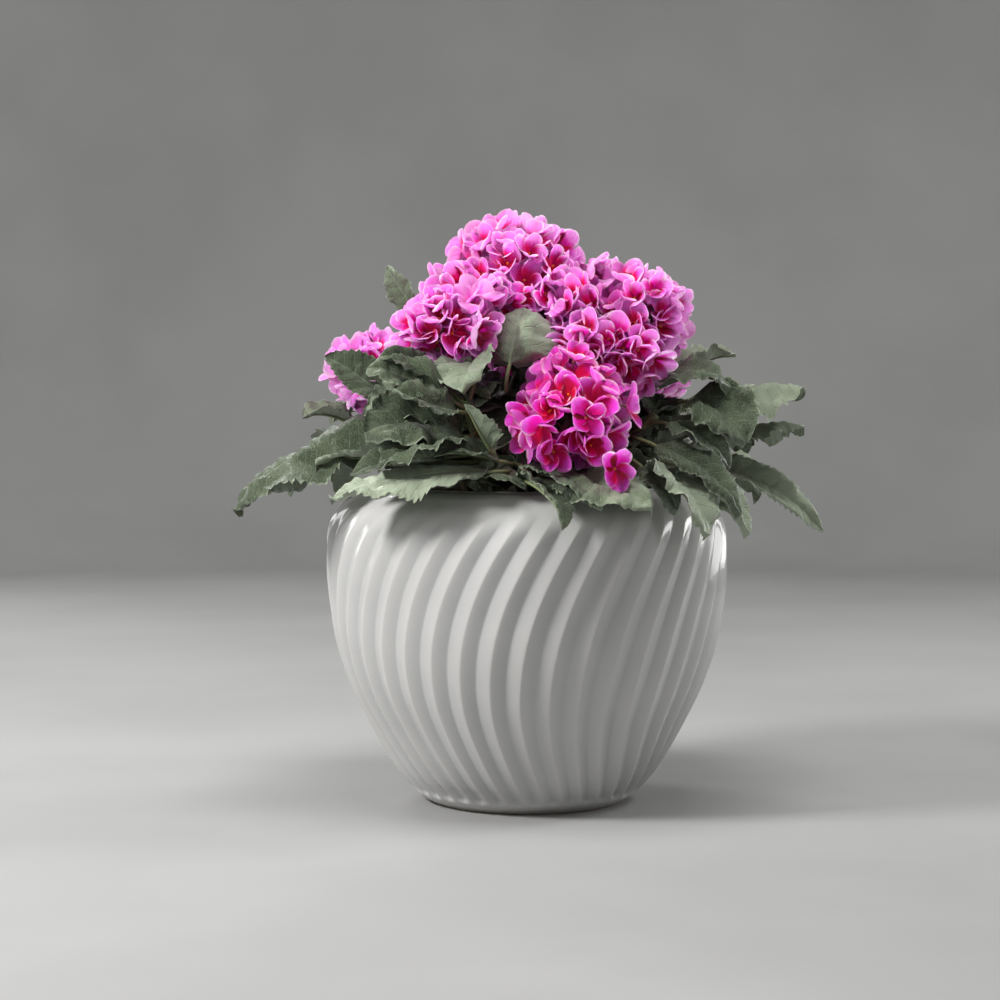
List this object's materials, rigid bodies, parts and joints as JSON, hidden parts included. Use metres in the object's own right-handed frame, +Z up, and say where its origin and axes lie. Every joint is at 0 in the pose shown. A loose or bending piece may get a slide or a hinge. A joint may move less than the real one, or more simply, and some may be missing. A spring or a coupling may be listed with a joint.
{
  "type": "potted hydrangea",
  "caption": "Potted mophead hydrangea with domed pink bloom heads and coarse toothed leaves, in a round bulging glazed pot with twisted ribs.",
  "frame": {"origin": "centre of the pot's flat foot, on the surface that it stands on", "axes": "+Z up along the pot's axis, -Y to the front of the plant, +X to the right of someone who looks at the front"},
  "size_m": [0.4684, 0.389, 0.4673],
  "materials": {
    "pot_glaze": "gloss",
    "potting_mix": "matte",
    "foliage": "matte",
    "petals": "satin"
  },
  "bodies": {
    "root": {"pot": "pot_glaze", "soil": "potting_mix", "leafy_cane_crown": "foliage", "leafy_cane_left_front": "foliage", "leafy_cane_far_left": "foliage", "leafy_cane_front_left": "foliage", "leafy_cane_right": "foliage", "leafy_cane_front": "foliage", "leafy_cane_right_front": "foliage", "leafy_cane_right_side": "foliage", "leafy_cane_right_back": "foliage", "leafy_cane_left_back": "foliage", "leafy_cane_back": "foliage", "bloom_crown": "petals", "bloom_left_front": "petals", "bloom_far_left": "petals", "bloom_right": "petals", "bloom_front": "petals", "bloom_right_back": "petals", "bloom_left_back": "petals", "bloom_back": "petals"}
  },
  "joints": []
}
